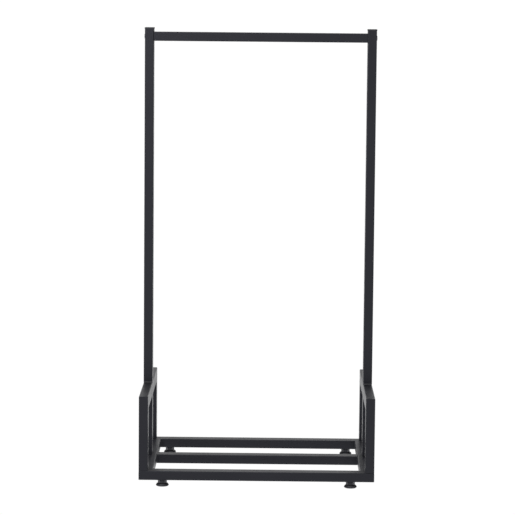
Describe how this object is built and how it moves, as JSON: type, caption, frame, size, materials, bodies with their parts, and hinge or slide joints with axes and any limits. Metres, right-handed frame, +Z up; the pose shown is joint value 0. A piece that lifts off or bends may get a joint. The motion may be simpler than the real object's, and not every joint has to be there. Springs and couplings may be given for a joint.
{
  "type": "firewood log rack",
  "caption": "Free-standing firewood log rack of black rectangular steel tube: flat base frame, low side frames, tall central hoop and screw-in levelling feet.",
  "frame": {"origin": "on the floor, below the middle of the rack", "axes": "+X the rack's width, to the right seen from the front; +Y its depth, towards the rear; +Z up. The front is the side the picture shows."},
  "size_m": [0.5126, 0.4, 0.987],
  "materials": {
    "powder_coat": "satin black powder coat with a fine texture",
    "cap": "moulded black plastic",
    "insert": "moulded black glass-filled nylon",
    "pad": "moulded black plastic",
    "black_steel": "black oxide steel",
    "steel": "zinc plated"
  },
  "bodies": {
    "rack": {"base_front_rail": "powder_coat", "base_rear_rail": "powder_coat", "base_left_rail": "powder_coat", "base_right_rail": "powder_coat", "base_mid_rail": "powder_coat", "left_front_post": "powder_coat", "left_mid_post": "powder_coat", "left_rear_post": "powder_coat", "left_top_rail": "powder_coat", "right_front_post": "powder_coat", "right_mid_post": "powder_coat", "right_rear_post": "powder_coat", "right_top_rail": "powder_coat", "left_upright": "powder_coat", "right_upright": "powder_coat", "hoop_rail": "powder_coat", "left_upright_cap": "cap", "right_upright_cap": "cap", "left_upright_insert": "insert", "right_upright_insert": "insert", "hoop_rail_inserts": "insert", "hoop_rail_screws": "black_steel", "upright_studs": "steel", "upright_rivet_nuts": "steel", "post_inserts": "insert", "post_screws": "black_steel", "post_washers": "steel", "foot_rivet_nuts": "steel"},
    "front_left_foot": {"front_left_pad": "pad"},
    "front_left_screw": {"front_left_stud": "black_steel"},
    "front_right_foot": {"front_right_pad": "pad"},
    "front_right_screw": {"front_right_stud": "black_steel"},
    "rear_left_foot": {"rear_left_pad": "pad"},
    "rear_left_screw": {"rear_left_stud": "black_steel"},
    "rear_right_foot": {"rear_right_pad": "pad"},
    "rear_right_screw": {"rear_right_stud": "black_steel"}
  },
  "joints": [
    {"name": "front_left_foot_travel", "type": "slide", "parent": "rack", "child": "front_left_foot", "axis": [0, 0, -1], "range_m": [0, 0.01]},
    {"name": "front_left_foot_turn", "type": "hinge", "parent": "front_left_foot", "child": "front_left_screw", "pos_m": [-0.204, -0.185, 0.01], "axis": [0, 0, -1], "range_deg": [0, 2880]},
    {"name": "front_right_foot_travel", "type": "slide", "parent": "rack", "child": "front_right_foot", "axis": [0, 0, -1], "range_m": [0, 0.01]},
    {"name": "front_right_foot_turn", "type": "hinge", "parent": "front_right_foot", "child": "front_right_screw", "pos_m": [0.204, -0.185, 0.01], "axis": [0, 0, -1], "range_deg": [0, 2880]},
    {"name": "rear_left_foot_travel", "type": "slide", "parent": "rack", "child": "rear_left_foot", "axis": [0, 0, -1], "range_m": [0, 0.01]},
    {"name": "rear_left_foot_turn", "type": "hinge", "parent": "rear_left_foot", "child": "rear_left_screw", "pos_m": [-0.204, 0.185, 0.01], "axis": [0, 0, -1], "range_deg": [0, 2880]},
    {"name": "rear_right_foot_travel", "type": "slide", "parent": "rack", "child": "rear_right_foot", "axis": [0, 0, -1], "range_m": [0, 0.01]},
    {"name": "rear_right_foot_turn", "type": "hinge", "parent": "rear_right_foot", "child": "rear_right_screw", "pos_m": [0.204, 0.185, 0.01], "axis": [0, 0, -1], "range_deg": [0, 2880]}
  ],
  "couplings": [
    {"joint": "front_left_foot_turn", "follows": "front_left_foot_travel", "rad_per_m": 5026.5},
    {"joint": "front_right_foot_turn", "follows": "front_right_foot_travel", "rad_per_m": 5026.5},
    {"joint": "rear_left_foot_turn", "follows": "rear_left_foot_travel", "rad_per_m": 5026.5},
    {"joint": "rear_right_foot_turn", "follows": "rear_right_foot_travel", "rad_per_m": 5026.5}
  ]
}
